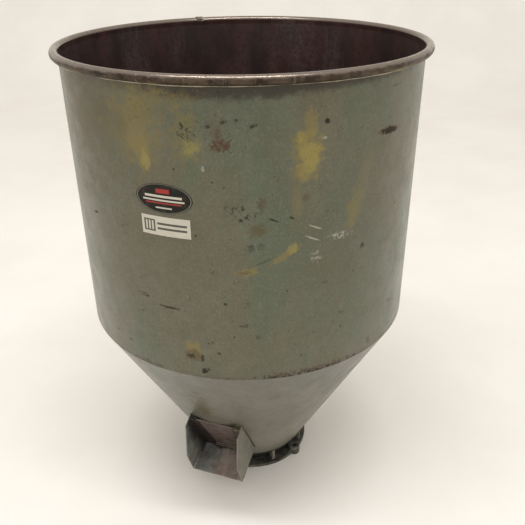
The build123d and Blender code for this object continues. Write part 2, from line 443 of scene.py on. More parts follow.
# Grime, browning and daubs of old yellow paint on the drum, lowest first.
STAINS = (
    Mark(Stain.GRIME, 14, 0.707, 0.250, 0.021, ragged=0.8, soft=0.45, grain=0.1, strength=0.92),
    Mark(Stain.GRIME, 44, 0.711, 0.190, 0.013, ragged=0.8, soft=0.45, strength=0.75),
    Mark(Stain.BROWN, -12, 0.706, 0.090, 0.020, ragged=1.4, soft=0.5, grain=0.2, strength=0.60),
    Mark(Stain.BROWN, -30, 0.655, 0.120, 0.150, ragged=1.5, soft=0.9, strength=0.75),
    Mark(Stain.BROWN, -12, 0.560, 0.150, 0.300, ragged=1.5, soft=0.9, strength=0.16),
    Mark(Stain.BROWN, 56, 0.600, 0.160, 0.220, ragged=1.5, soft=0.9, strength=0.20),
    Mark(Stain.BROWN, 49, 0.480, 0.100, 0.110, ragged=1.6, soft=0.9, strength=0.24),
    Mark(Stain.OLIVE, -22, 0.655, 0.110, 0.080, tilt=-20, ragged=1.8, soft=0.8, strength=0.50),
    Mark(Stain.OLIVE, -15, 0.676, 0.100, 0.030, tilt=8, ragged=1.6, soft=0.6, strength=0.50),
    Mark(Stain.OCHRE, -9, 0.665, 0.066, 0.080, ragged=1.6, soft=0.7, grain=0.15, strength=0.62),
    Mark(Stain.OLIVE, -14, 0.660, 0.020, 0.030, ragged=1.6, soft=0.6, strength=0.45),
    Mark(Stain.OCHRE, -7, 0.634, 0.026, 0.050, tilt=8, ragged=1.3, soft=0.5, grain=0.1, strength=0.66),
    Mark(Stain.YELLOW, -6, 0.622, 0.011, 0.022, tilt=8, ragged=1.2, soft=0.5, grain=0.1, strength=0.66),
    Mark(Stain.OCHRE, -3, 0.694, 0.090, 0.024, ragged=1.8, soft=0.7, grain=0.35, strength=0.42),
    Mark(Stain.OCHRE, 6, 0.655, 0.028, 0.062, ragged=1.7, soft=0.6, grain=0.25, strength=0.50),
    Mark(Stain.YELLOW, 7.6, 0.641, 0.017, 0.018, ragged=1.5, soft=0.5, grain=0.2, strength=0.55),
    Mark(Stain.RUST, 13.5, 0.662, 0.018, 0.040, ragged=1.6, soft=0.6, grain=0.3, strength=0.30),
    Mark(Stain.BROWN, 27, 0.648, 0.036, 0.044, ragged=1.8, soft=0.7, grain=0.2, strength=0.24),
    Mark(Stain.OCHRE, 37.5, 0.634, 0.034, 0.062, ragged=1.3, soft=0.30, grain=0.08, strength=0.82),
    Mark(Stain.YELLOW, 38.0, 0.630, 0.026, 0.046, ragged=1.8, soft=0.5, grain=0.25, strength=0.72),
    Mark(Stain.OCHRE, 38.4, 0.668, 0.013, 0.032, ragged=1.5, soft=0.4, grain=0.2, strength=0.72),
    Mark(Stain.OCHRE, 36.0, 0.610, 0.020, 0.014, ragged=1.6, soft=0.4, grain=0.2, strength=0.60),
    Mark(Stain.OCHRE, 35, 0.576, 0.010, 0.046, ragged=1.9, soft=0.6, grain=0.3, strength=0.40),
    Mark(Stain.OCHRE, 53, 0.550, 0.020, 0.048, tilt=-12, ragged=1.5, soft=0.6, grain=0.15, strength=0.55),
    Mark(Stain.OCHRE, 56, 0.592, 0.014, 0.056, tilt=-18, ragged=1.8, soft=0.8, grain=0.3, strength=0.30),
    Mark(Stain.OCHRE, 32, 0.505, 0.042, 0.009, tilt=32, ragged=1.2, soft=0.4, grain=0.1, strength=0.78),
    Mark(Stain.YELLOW, 34, 0.513, 0.014, 0.011, tilt=32, ragged=1.2, soft=0.4, grain=0.1, strength=0.55),
    Mark(Stain.OCHRE, 21, 0.484, 0.028, 0.010, tilt=4, ragged=1.4, soft=0.4, grain=0.1, strength=0.84),
    Mark(Stain.RUST, 20.2, 0.4835, 0.018, 0.005, tilt=4, ragged=1.4, soft=0.4, grain=0.2, strength=0.55),
    Mark(Stain.OLIVE, 24.7, 0.542, 0.021, 0.018, ragged=1.5, soft=0.4, grain=0.1, strength=0.90),
    Mark(Stain.RUST, 25.3, 0.574, 0.009, 0.018, ragged=1.5, soft=0.4, grain=0.15, strength=0.62),
    Mark(Stain.OLIVE, 37.4, 0.578, 0.009, 0.008, ragged=1.4, soft=0.4, grain=0.1, strength=0.80),
    Mark(Stain.OCHRE, 4.2, 0.361, 0.022, 0.030, ragged=1.3, soft=0.4, strength=0.92),
    Mark(Stain.OLIVE, 4.0, 0.353, 0.025, 0.018, ragged=1.5, soft=0.4, grain=0.1, strength=0.85),
    Mark(Stain.CHIP, 3.4, 0.352, 0.012, 0.008, ragged=1.6, grain=0.3, strength=0.70),
)

# Marks on the back of the drum, then chips, rust spots and chalk on its front, lowest first.
SMALL_MARKS = (
    Mark(Stain.OCHRE, 128, 0.640, 0.050, 0.090, tilt=10, ragged=1.7, soft=0.7, grain=0.2, strength=0.50),
    Mark(Stain.CHIP, 104, 0.530, 0.030, 0.012, tilt=-16, ragged=1.8, grain=0.45, strength=0.7),
    Mark(Stain.PALE, 141, 0.480, 0.040, 0.004, tilt=12, ragged=0.9, grain=0.3, strength=0.6),
    Mark(Stain.BROWN, 165, 0.610, 0.160, 0.180, ragged=1.6, soft=0.9, strength=0.45),
    Mark(Stain.RUST, 172, 0.395, 0.030, 0.022, ragged=1.8, soft=0.4, grain=0.35, strength=0.8),
    Mark(Stain.RUST, -139, 0.560, 0.016, 0.070, ragged=1.7, soft=0.5, grain=0.3, strength=0.6),
    Mark(Stain.OLIVE, -118, 0.690, 0.200, 0.030, ragged=1.5, soft=0.6, strength=0.6),
    Mark(Stain.CHIP, -104, 0.455, 0.044, 0.010, tilt=6, ragged=1.9, grain=0.5, strength=0.7),
    Mark(Stain.OCHRE, -86, 0.580, 0.030, 0.060, tilt=-8, ragged=1.6, soft=0.6, grain=0.2, strength=0.55),
    Mark(Stain.RUST, -100, 0.320, 0.200, 0.009, ragged=2.0, soft=0.4, grain=0.45, strength=0.7),
    Mark(Stain.RUST, 150, 0.320, 0.260, 0.009, ragged=2.0, soft=0.4, grain=0.45, strength=0.7),
    Mark(Stain.CHIP, 5.6, 0.661, 0.014, 0.016, ragged=1.9, grain=0.55, strength=0.85),
    Mark(Stain.CHIP, 7.5, 0.652, 0.010, 0.018, ragged=1.9, grain=0.6, strength=0.8),
    Mark(Stain.RUST, 15.2, 0.646, 0.021, 0.013, ragged=1.7, soft=0.3, grain=0.25, strength=0.92),
    Mark(Stain.RUST, 14.6, 0.657, 0.008, 0.012, ragged=1.6, grain=0.3, strength=0.6),
    Mark(Stain.CHIP, 12, 0.667, 0.005, 0.004, strength=0.7),
    Mark(Stain.CHIP, 16, 0.673, 0.008, 0.006, ragged=1.7, grain=0.45, strength=0.8),
    Mark(Stain.CHIP, 18.9, 0.672, 0.007, 0.006, ragged=1.7, grain=0.45, strength=0.8),
    Mark(Stain.CHIP, 23.3, 0.668, 0.010, 0.005, ragged=1.7, grain=0.40, strength=0.8),
    Mark(Stain.CHIP, 17.6, 0.655, 0.007, 0.009, ragged=1.8, grain=0.5, strength=0.6),
    Mark(Stain.CHIP, 43, 0.667, 0.006, 0.006, ragged=0.6, strength=0.95),
    Mark(Stain.RUST, 65.5, 0.640, 0.040, 0.009, tilt=-3, ragged=0.9, soft=0.3, strength=0.8),
    Mark(Stain.CHIP, 65.7, 0.6395, 0.034, 0.007, tilt=-3, ragged=1.6, soft=0.3, strength=0.9),
    Mark(Stain.CHIP, 66.5, 0.639, 0.026, 0.004, tilt=-3, ragged=1.2, grain=0.2, strength=0.7),
    Mark(Stain.CHIP, 67, 0.693, 0.016, 0.003, ragged=1.0, strength=0.45),
    Mark(Stain.CHIP, 20.5, 0.562, 0.034, 0.018, tilt=-25, ragged=2.0, grain=0.60, strength=0.85),
    Mark(Stain.CHIP, 28.6, 0.553, 0.014, 0.0026, tilt=-24, ragged=0.8, strength=0.85),
    Mark(Stain.CHIP, 33.6, 0.554, 0.006, 0.003, tilt=-30, ragged=0.6, strength=0.85),
    Mark(Stain.CHIP, 29.5, 0.605, 0.010, 0.009, tilt=30, ragged=1.9, grain=0.6, strength=0.6),
    Mark(Stain.CHIP, 22.2, 0.518, 0.009, 0.008, ragged=1.6, grain=0.35, strength=0.6),
    Mark(Stain.CHIP, 25, 0.518, 0.008, 0.009, ragged=1.6, grain=0.35, strength=0.6),
    Mark(Stain.CHIP, 26, 0.4985, 0.023, 0.0024, tilt=22, ragged=0.9, strength=0.5),
    Mark(Stain.CHIP, 11.3, 0.487, 0.011, 0.014, ragged=1.6, grain=0.66, strength=0.6),
    Mark(Stain.CHIP, -2.6, 0.423, 0.030, 0.0034, tilt=-3, ragged=1.2, grain=0.1, strength=0.85),
    Mark(Stain.CHIP, -11.4, 0.434, 0.017, 0.006, tilt=-12, ragged=1.6, grain=0.4, strength=0.75),
    Mark(Stain.CHIP, -11, 0.461, 0.016, 0.008, tilt=30, ragged=1.8, grain=0.6, strength=0.4),
    Mark(Stain.CHIP, 4, 0.441, 0.003, 0.014, ragged=1.5, grain=0.4, strength=0.55),
    Mark(Stain.CHIP, 14.6, 0.438, 0.0045, 0.0045, ragged=0.6, strength=0.85),
    Mark(Stain.CHIP, 20.5, 0.438, 0.014, 0.010, tilt=20, ragged=1.8, grain=0.62, strength=0.55),
    Mark(Stain.CHIP, 19.8, 0.405, 0.015, 0.005, tilt=5, ragged=1.4, grain=0.35, strength=0.65),
    Mark(Stain.CHIP, 16.4, 0.418, 0.003, 0.014, ragged=1.4, grain=0.4, strength=0.45),
    Mark(Stain.CHIP, 12.1, 0.361, 0.005, 0.005, ragged=0.8, strength=0.7),
    Mark(Stain.CHIP, 24, 0.388, 0.007, 0.006, ragged=1.3, grain=0.3, strength=0.5),
    Mark(Stain.CHIP, -30.5, 0.529, 0.009, 0.004, tilt=10, ragged=0.9, strength=0.75),
    Mark(Stain.CHIP, -20, 0.346, 0.009, 0.004, ragged=0.9, strength=0.55),
    Mark(Stain.CHIP, 7.4, 0.330, 0.014, 0.008, tilt=20, ragged=1.4, soft=0.3, grain=0.2, strength=0.95),
    Mark(Stain.CHIP, 6.8, 0.350, 0.005, 0.010, ragged=1.2, strength=0.7),
    Mark(Stain.CHIP, 44, 0.457, 0.010, 0.003, ragged=1.3, grain=0.3, strength=0.45),
    Mark(Stain.CHIP, 57.2, 0.494, 0.006, 0.009, tilt=-10, ragged=1.4, grain=0.1, strength=0.8),
    Mark(Stain.CHIP, 63.5, 0.333, 0.008, 0.012, tilt=10, ragged=1.3, grain=0.2, strength=0.5),
    Mark(Stain.CHIP, 37, 0.350, 0.004, 0.004, ragged=0.8, strength=0.5),
    Mark(Stain.CHIP, 75, 0.377, 0.010, 0.004, tilt=-10, ragged=1.2, strength=0.5),
    Mark(Stain.CHIP, 50, 0.404, 0.016, 0.004, tilt=-18, ragged=1.4, grain=0.35, strength=0.5),
    Mark(Stain.PALE, 40.6, 0.5375, 0.021, 0.0020, tilt=-25, ragged=0.6, strength=0.72),
    Mark(Stain.PALE, 39.8, 0.5230, 0.020, 0.0022, tilt=-25, ragged=0.6, strength=0.78),
    Mark(Stain.PALE, 48.6, 0.520, 0.028, 0.009, ragged=1.9, grain=0.55, strength=0.8),
    Mark(Stain.PALE, 40.8, 0.497, 0.014, 0.012, tilt=-30, ragged=1.9, grain=0.5, strength=0.65),
    Mark(Stain.PALE, 10.2, 0.617, 0.004, 0.007, ragged=1.0, strength=0.5),
    Mark(Stain.PALE, 42.5, 0.648, 0.007, 0.003, ragged=1.0, strength=0.6),
    Mark(Stain.RUST, 40, 0.321, 0.130, 0.012, ragged=2.0, soft=0.4, grain=0.42, strength=0.85),
    Mark(Stain.CHIP, 38, 0.3195, 0.110, 0.006, ragged=2.0, soft=0.4, grain=0.45, strength=0.85),
    Mark(Stain.RUST, -13, 0.320, 0.050, 0.008, ragged=2.0, soft=0.4, grain=0.4, strength=0.7),
    Mark(Stain.CHIP, 57, 0.319, 0.060, 0.006, ragged=2.0, soft=0.4, grain=0.5, strength=0.7),
    Mark(Stain.CHIP, 12, 0.319, 0.060, 0.0035, ragged=2.0, soft=0.4, grain=0.5, strength=0.55),
)

# Marks on the cone, lowest first: a broad pale cloud that makes the cone lighter towards its foot, which is
# painted light standing in for light bounced up from the floor, then grease, rust and a chip.
CONE_MARKS = (
    Mark(Stain.PALE, 26, 0.050, 0.520, 0.130, ragged=1.0, soft=0.8, strength=0.34),
    Mark(Stain.OLIVE, -1, 0.222, 0.036, 0.070, tilt=-14, ragged=1.7, soft=0.5, grain=0.15, strength=0.80),
    Mark(Stain.OLIVE, -3, 0.196, 0.034, 0.028, ragged=1.7, soft=0.5, grain=0.2, strength=0.75),
    Mark(Stain.RUST, 4, 0.168, 0.070, 0.030, ragged=1.7, soft=0.7, grain=0.2, strength=0.40),
    Mark(Stain.CHIP, 11, 0.160, 0.018, 0.012, ragged=1.7, grain=0.35, strength=0.7),
    Mark(Stain.RUST, 31, 0.255, 0.010, 0.018, ragged=1.6, soft=0.5, grain=0.3, strength=0.3),
)


BARE = (Stain.CHIP, Stain.RUST)  # marks that go through the paint
GREASY = 0.45  # how bare any other mark counts
BROAD_MARK = 0.014  # a mark larger than this both ways has a broad wobble, in metres
FLATTEN = 1e6


def lay_marks(sketch: Sketch, colour: Socket, marks: Iterable[Mark], flat: Socket) -> tuple[Socket, Socket]:
    """Lays a list of marks over a colour.

    Args:
        sketch: The graph that they are drawn in.
        colour: The colour under them.
        marks: The marks, lowest first.
        flat: The surface rolled out flat, in metres.

    Returns:
        The new colour, and the share of bare surface for gloss and relief.
    """
    broad = sketch.math("SUBTRACT", sketch.noise(sketch.place, 75, 5, 0.62), 0.5)
    fine = sketch.math("SUBTRACT", sketch.noise(sketch.place, 260, 4, 0.6), 0.5)
    speck = sketch.noise(sketch.place, 230, 4, 0.62)
    arc, height, _ = sketch.split(flat)
    covered: Value = 0.0
    for mark in marks:
        # The share covered so far rides along as a third number, squashed to nothing: it only makes the
        # renderer work the marks out one after another, so that it never holds them all at once.
        mapping = sketch.tree.nodes.new("ShaderNodeMapping")
        mapping.vector_type = "TEXTURE"
        sketch.feed(mapping.inputs["Vector"], sketch.join(arc, height, covered))
        mapping.inputs["Location"].default_value = (
            math.radians(mark.heading) * SIZES.drum_radius, mark.height, 0)
        mapping.inputs["Rotation"].default_value = (0, 0, math.radians(mark.tilt))
        mapping.inputs["Scale"].default_value = (mark.wide / 2, mark.tall / 2, FLATTEN)
        away = sketch.vector("LENGTH", mapping.outputs[0])
        wobble = broad if min(mark.wide, mark.tall) > BROAD_MARK else fine
        edge = sketch.math("MULTIPLY_ADD", wobble, 2 * mark.ragged, away)
        mask = sketch.ramp(edge, 1 + mark.soft, 1 - mark.soft, 0.0, mark.strength)
        if mark.grain:
            gap = 0.30 + 0.42 * mark.grain
            mask = sketch.times(mask, sketch.ramp(speck, gap - 0.08, gap + 0.08))
        colour = sketch.mix(mask, colour, mark.stain.value)
        bare = mask if mark.stain in BARE else sketch.times(mask, GREASY)
        covered = sketch.math("MAXIMUM", covered, bare)
    return colour, covered


# ---------------------------------------------------------------------------------------------------------
# Finishes
# ---------------------------------------------------------------------------------------------------------


def cone_surface(sketch: Sketch, z: Socket) -> Socket:
    """The cone's outer radius at a height."""
    above_foot = sketch.math("SUBTRACT", z, SIZES.foot)
    return sketch.math("MULTIPLY_ADD", above_foot, SIZES.slope, SIZES.outlet_radius)


@dataclass(frozen=True)
class OldPaint:
    """Grey-green paint on rolled sheet, with a browned bare inside."""

    name: str = "old_grey_green_paint"
    green: Colour = srgb(76, 87, 66)
    brown: Colour = srgb(96, 85, 64)
    grey: Colour = srgb(100, 99, 84)
    inside: Colour = srgb(63, 38, 33)
    inside_dark: Colour = srgb(37, 23, 19)
    inside_dust: Colour = srgb(87, 75, 73)
    marks: tuple[Mark, ...] = ()

    def rolled_out(self, sketch: Sketch) -> tuple[Socket, Socket, Socket]:
        """The surface rolled out flat.

        Args:
            sketch: The paint's graph.

        Returns:
            The rolled-out place, the radius and the height of a point.
        """
        x, y, z = sketch.split(sketch.place)
        heading = sketch.math("ARCTAN2", x, sketch.times(y, -1.0))
        arc = sketch.times(heading, SIZES.drum_radius)
        radius = sketch.vector("LENGTH", sketch.join(x, y))
        return sketch.join(arc, z), radius, z

    def painted(self, sketch: Sketch) -> Socket:
        """The paint's own colour, clouded and streaked with age.

        Args:
            sketch: The paint's graph.

        Returns:
            The colour.
        """
        broad = sketch.patches(6.5, 0.36, 0.64, 3, 0.6, (1, 1, 0.5))
        cloud = sketch.patches(24, 0.40, 0.66, 5, 0.68, (1, 1, 0.6))
        runs = sketch.patches(1, 0.42, 0.68, 4, 0.65, (80, 80, 5))
        mottle = sketch.patches(85, 0.44, 0.62, 4, 0.7)
        fleck = sketch.patches(380, 0.40, 0.62, 3, 0.55)
        colour = sketch.tint(self.green, self.brown, broad, 0.75)
        colour = sketch.tint(colour, self.grey, cloud, 0.46)
        colour = sketch.tint(colour, srgb(72, 78, 55), mottle, 0.32)
        colour = sketch.tint(colour, self.brown, runs, 0.26)
        dust = sketch.patches(300, 0.54, 0.66, 3, 0.6)
        colour = sketch.tint(colour, srgb(126, 122, 102), dust, 0.22)
        return sketch.tint(colour, srgb(68, 68, 50), fleck, 0.28)

    def wear(self, sketch: Sketch, colour: Socket) -> tuple[Socket, Socket]:
        """Small chips, specks and rubs scattered over the whole surface.

        Args:
            sketch: The paint's graph.
            colour: The colour under them.

        Returns:
            The new colour, and where it is chipped.
        """
        where = sketch.patches(11, 0.48, 0.66, 3, 0.55)
        chip = sketch.patches(170, 0.655, 0.69, 4, 0.7)
        chip = sketch.times(chip, where)
        ragged = sketch.math("MULTIPLY_ADD", sketch.noise(sketch.place, 700, 2, 0.6), 0.10, -0.05)
        dots = sketch.ramp(sketch.math("ADD", sketch.cells(sketch.place, 48), ragged), 0.090, 0.055)
        dots = sketch.times(dots, sketch.patches(31, 0.44, 0.54, 2, 0.5))
        fine = sketch.ramp(sketch.math("ADD", sketch.cells(sketch.place, 115), ragged), 0.150, 0.090)
        fine = sketch.times(fine, sketch.patches(12, 0.50, 0.60, 4, 0.6))
        dots = sketch.math("MULTIPLY_ADD", fine, 0.7, dots, clamp=True)
        rub = sketch.patches(1, 0.68, 0.75, 3, 0.6, (30, 30, 300))
        rub = sketch.times(rub, sketch.patches(14, 0.48, 0.64, 2, 0.5))
        colour = sketch.tint(colour, srgb(56, 48, 32), rub, 0.55)
        worn = sketch.math("MAXIMUM", chip, dots)
        return sketch.tint(colour, Stain.CHIP.value, worn, 0.70), worn

    def bare_inside(self, sketch: Sketch) -> Socket:
        """Browned steel of the inside, with dusty bands where the load ran down.

        Args:
            sketch: The finish's graph.

        Returns:
            The colour.
        """
        rust = sketch.patches(20, 0.36, 0.66, 6, 0.68, (1, 1, 0.5))
        dust = sketch.patches(1, 0.48, 0.68, 5, 0.65, (9, 9, 2))
        fleck = sketch.patches(150, 0.44, 0.62, 4, 0.65)
        colour = sketch.mix(rust, self.inside_dark, self.inside)
        colour = sketch.tint(colour, self.inside_dust, dust, 0.42)
        return sketch.tint(colour, self.inside_dark, fleck, 0.60)

    def seams(self, sketch: Sketch, colour: Socket, z: Socket) -> Socket:
        """Grime under the rim, and the paint rubbed thin round the crease.

        Args:
            sketch: The paint's graph.
            colour: The colour under them.
            z: The height of a point.

        Returns:
            The new colour.
        """
        ragged = sketch.math("MULTIPLY_ADD", sketch.noise(sketch.place, 55, 6, 0.68), 0.040, -0.020)
        reached = sketch.math("ADD", z, ragged)
        under_rim = sketch.ramp(reached, SIZES.drum_top - 0.013, SIZES.drum_top - 0.003)
        colour = sketch.tint(colour, srgb(56, 49, 29), under_rim, 0.72)
        patch = sketch.patches(21, 0.53, 0.62, 4, 0.65)
        patch = sketch.times(patch, under_rim)
        colour = sketch.tint(colour, Stain.OCHRE.value, patch, 0.60)
        near = sketch.math("ABSOLUTE", sketch.math("SUBTRACT", reached, SIZES.crease + 0.001))
        worn = sketch.ramp(near, 0.0040, 0.0010)
        return sketch.tint(colour, srgb(70, 60, 42), worn, 0.30)

    def build(self) -> bpy.types.Material:
        """Draws the paint's graph.

        Returns:
            The finished material.
        """
        sketch = Sketch(self.name)
        flat, radius, z = self.rolled_out(sketch)
        colour, chips = self.wear(sketch, self.painted(sketch))
        colour = self.seams(sketch, colour, z)
        colour, covered = lay_marks(sketch, colour, self.marks, flat)
        wall = sketch.math("MINIMUM", SIZES.drum_radius, cone_surface(sketch, z))
        depth = sketch.math("SUBTRACT", wall, radius)
        inside = sketch.ramp(depth, 0.45 * SIZES.sheet, 0.65 * SIZES.sheet)
        colour = sketch.mix(inside, colour, self.bare_inside(sketch))
        bare = sketch.math("MAXIMUM", chips, covered)
        gloss = sketch.patches(30, 0.3, 0.7, 4, 0.6, span=(0.36, 0.52))
        rough = sketch.math("MULTIPLY_ADD", bare, 0.22, gloss)
        rough = sketch.math("MULTIPLY_ADD", inside, 0.12, rough, clamp=True)
        waves = sketch.noise(sketch.stretch(sketch.place, (1, 1, 0.45)), 9, 2, 0.5)
        peel = sketch.noise(sketch.place, 240, 4, 0.55)
        relief = sketch.math("MULTIPLY_ADD", bare, -0.6, peel)
        normal = sketch.bump(waves, 0.006, 0.5)
        normal = sketch.bump(relief, 0.0004, 0.5, normal)
        coat = sketch.ramp(bare, 0.45, 0.80, 0.50, 0.0)
        return sketch.finish(
            colour, rough, normal, Specular_IOR_Level=0.32, Coat_Weight=coat, Coat_Roughness=0.26)


@dataclass(frozen=True)
class PlatePaint:
    """The same paint on the chute's flat plates; inside, bare and soiled where the load has run, with painted
    shade by the gate.

    Inner half is half the chute's inside width in metres; with 0 there is no inside.
    """

    name: str = "chute_paint"
    inner_half: float = 0.0
    paint: OldPaint = OldPaint(green=srgb(112, 114, 102), brown=srgb(118, 112, 100), grey=srgb(128, 127, 118))

    def reach(self, sketch: Sketch) -> Socket:
        """How far a point stands out from the cone.

        Args:
            sketch: The paint's graph.

        Returns:
            The distance's socket, in metres.
        """
        x, y, z = sketch.split(sketch.place)
        radius = sketch.vector("LENGTH", sketch.join(x, y))
        return sketch.math("SUBTRACT", radius, cone_surface(sketch, z))

    def slid_steel_and_shade(self, sketch: Sketch) -> Socket:
        """Bare steel inside, greyer to the left and browner to the right, with painted shade that makes it
        almost black by the gate and along the cheeks near the cone.

        Args:
            sketch: The paint's graph.

        Returns:
            The colour.
        """
        x, _, _ = sketch.split(sketch.place)
        cloud = sketch.math("MULTIPLY_ADD", sketch.noise(sketch.place, 40, 5, 0.66), 0.030, -0.015)
        grey = sketch.patches(70, 0.35, 0.65, 5, 0.65)
        colour = sketch.mix(grey, srgb(106, 106, 100), srgb(138, 138, 131))
        browned = sketch.ramp(sketch.math("ADD", x, cloud), -0.020, 0.004)
        brown = sketch.mix(grey, srgb(132, 118, 108), srgb(162, 148, 138))
        colour = sketch.mix(browned, colour, brown)
        streak = sketch.patches(1, 0.54, 0.70, 4, 0.65, (300, 14, 14))
        colour = sketch.tint(colour, srgb(150, 148, 140), streak, 0.45)
        soil = sketch.patches(1, 0.55, 0.68, 3, 0.6, (160, 12, 12))
        colour = sketch.tint(colour, srgb(58, 50, 42), soil, 0.5)
        # Painted shade: near black close to the cone by the gate, and on the cheeks' inner faces and the
        # floor beside them, up to about 44 mm out from the cone.
        depth = sketch.math("ADD", self.reach(sketch), cloud)
        side = sketch.ramp(sketch.math("ABSOLUTE", x), self.inner_half - 0.006, self.inner_half - 0.001)
        dark = sketch.math("MAXIMUM", sketch.ramp(depth, 0.012, 0.005), sketch.math(
            "MULTIPLY", side, sketch.ramp(depth, 0.044, 0.012)))
        return sketch.tint(colour, srgb(24, 19, 16), dark, 0.92)

    def build(self) -> bpy.types.Material:
        """Draws the paint's graph.

        Returns:
            The finished material.
        """
        sketch = Sketch(self.name)
        colour, worn = self.paint.wear(sketch, self.paint.painted(sketch))
        edges = sketch.edges(0.0016)
        patchy = sketch.math("MULTIPLY_ADD", sketch.noise(sketch.place, 90, 5, 0.65), 1.0, edges)
        patchy = sketch.ramp(patchy, 0.95, 1.25)
        colour = sketch.tint(colour, srgb(126, 117, 104), patchy, 0.7)
        grime = sketch.patches(46, 0.56, 0.72, 4, 0.6)
        colour = sketch.tint(colour, srgb(60, 54, 42), grime, 0.30)
        rough = sketch.patches(60, 0.3, 0.7, 4, 0.6, span=(0.36, 0.54))
        normal = sketch.bump(sketch.noise(sketch.place, 28, 2, 0.5), 0.0030, 0.5)
        relief = sketch.math("MULTIPLY_ADD", worn, -0.6, sketch.noise(sketch.place, 400, 3, 0.55))
        normal = sketch.bump(relief, 0.0003, 0.5, normal)
        if not self.inner_half:
            return sketch.finish(colour, rough, normal)
        x, _, _ = sketch.split(sketch.place)
        within = sketch.ramp(sketch.math("ABSOLUTE", x), self.inner_half + 0.0004, self.inner_half + 0.0001)
        colour = sketch.mix(within, colour, self.slid_steel_and_shade(sketch))
        return sketch.finish(colour, rough, normal, sketch.times(within, 0.15))


@dataclass(frozen=True)
class WornSteel:
    """Brown, handled steel, brighter where it has been rubbed."""

    name: str
    dark: Colour = srgb(66, 52, 44)
    light: Colour = srgb(128, 112, 98)
    bright: Colour = srgb(176, 166, 152)
    metal: float = 0.55
    rough_low: float = 0.32
    rough_high: float = 0.60
    scale: float = 60.0
    relief: float = 0.0003

    def build(self) -> bpy.types.Material:
        """Draws the steel's graph.

        Returns:
            The finished material.
        """
        sketch = Sketch(self.name)
        rust = sketch.patches(self.scale, 0.34, 0.66, 6, 0.68)
        colour = sketch.mix(rust, self.dark, self.light)
        pits = sketch.patches(6 * self.scale, 0.62, 0.72, 3, 0.6)
        colour = sketch.tint(colour, srgb(44, 34, 28), pits, 0.6)
        edges = sketch.times(sketch.edges(0.0012), sketch.ramp(rust, 0.1, 0.7, 0.3, 0.9))
        colour = sketch.mix(edges, colour, self.bright)
        rough = sketch.patches(0.7 * self.scale, 0.3, 0.7, 4, 0.6, span=(self.rough_low, self.rough_high))
        normal = sketch.bump(sketch.math("SUBTRACT", rust, pits), self.relief, 0.6)
        return sketch.finish(colour, rough, normal, self.metal)


@dataclass(frozen=True)
class RimSteel:
    """The rolled rim: browned steel, rubbed lighter on top, and darker olive below, where oil and painted
    shade lie on its underside.
    """

    name: str = "rim_steel"
    dark: Colour = srgb(43, 33, 25)
    light: Colour = srgb(82, 69, 57)
    rubbed: Colour = srgb(134, 121, 110)
    oil_and_shade: Colour = srgb(48, 38, 20)

    def build(self) -> bpy.types.Material:
        """Draws the rim's graph.

        Returns:
            The finished material.
        """
        sketch = Sketch(self.name)
        x, y, z = sketch.split(sketch.place)
        radius = sketch.vector("LENGTH", sketch.join(x, y))
        outward = sketch.math("SUBTRACT", radius, SIZES.wire_circle)
        upward = sketch.math("SUBTRACT", z, SIZES.wire_height)
        ragged = sketch.math("SUBTRACT", sketch.noise(sketch.place, 70, 5, 0.68), 0.5)
        turn = sketch.math("MULTIPLY_ADD", ragged, 1.3, sketch.math("ARCTAN2", upward, outward))
        rust = sketch.patches(42, 0.38, 0.62, 6, 0.72)
        colour = sketch.mix(rust, self.dark, self.light)
        rubbed = sketch.ramp(turn, 0.20, 0.80)
        colour = sketch.tint(colour, self.rubbed, rubbed, 0.70)
        # The bead's underside turns darker and olive: oil, and painted shade under the bead.
        low = sketch.ramp(turn, -0.30, -0.80)
        colour = sketch.tint(colour, self.oil_and_shade, low, 0.75)
        dab = sketch.patches(19, 0.56, 0.64, 4, 0.6)
        dab = sketch.times(dab, low)
        colour = sketch.tint(colour, Stain.OCHRE.value, dab, 0.75)
        scratch = sketch.patches(1, 0.60, 0.70, 3, 0.6, (240, 240, 16))
        colour = sketch.tint(colour, srgb(150, 140, 126), scratch, 0.30)
        inner = sketch.ramp(outward, -0.72 * SIZES.wire_radius, -1.10 * SIZES.wire_radius)
        below = sketch.ramp(upward, 0.7 * SIZES.wire_radius, 0.1 * SIZES.wire_radius)
        inner = sketch.times(inner, below)
        colour = sketch.mix(inner, colour, OldPaint().bare_inside(sketch))
        rough = sketch.math("MULTIPLY_ADD", low, 0.18, sketch.ramp(rust, 0, 1, 0.42, 0.34))
        rough = sketch.math("MULTIPLY_ADD", rubbed, -0.18, rough)
        normal = sketch.bump(sketch.noise(sketch.place, 24, 3, 0.6), 0.0022, 0.45)
        normal = sketch.bump(sketch.noise(sketch.place, 260, 4, 0.6), 0.0004, 0.5, normal)
        shine = sketch.math("MULTIPLY_ADD", rubbed, 0.40, 0.14)
        return sketch.finish(colour, rough, normal, sketch.math("MULTIPLY_ADD", rubbed, 0.60, 0.08),
                             Specular_IOR_Level=shine)


@dataclass(frozen=True)
class GatePrimer:
    """Brown primer on the sliding gate, scuffed along its travel."""

    name: str = "gate_primer"

    def build(self) -> bpy.types.Material:
        """Draws the primer's graph.

        Returns:
            The finished material.
        """
        sketch = Sketch(self.name)
        cloud = sketch.patches(42, 0.34, 0.66, 6, 0.68)
        colour = sketch.mix(cloud, srgb(64, 50, 45), srgb(94, 79, 73))
        scrape = sketch.patches(1, 0.56, 0.70, 3, 0.6, (420, 24, 24))
        colour = sketch.tint(colour, srgb(124, 110, 100), scrape, 0.25)
        spot = sketch.patches(130, 0.60, 0.68, 4, 0.7)
        colour = sketch.tint(colour, srgb(52, 40, 34), spot, 0.6)
        colour = sketch.mix(sketch.edges(0.0014), colour, srgb(168, 158, 144))
        rough = sketch.ramp(cloud, 0, 1, 0.60, 0.42)
        normal = sketch.bump(sketch.noise(sketch.place, 240, 4, 0.6), 0.0003, 0.6)
        return sketch.finish(colour, rough, normal, sketch.times(scrape, 0.4))


class Print(Enum):
    """What a sticker carries."""

    RULED = "ruled"
    BANDED = "banded"


@dataclass(frozen=True)
class Bar:
    """A printed bar: its middle, across and up from the sticker's, and its half sizes, in millimetres."""

    across: float
    up: float
    half_wide: float
    half_tall: float


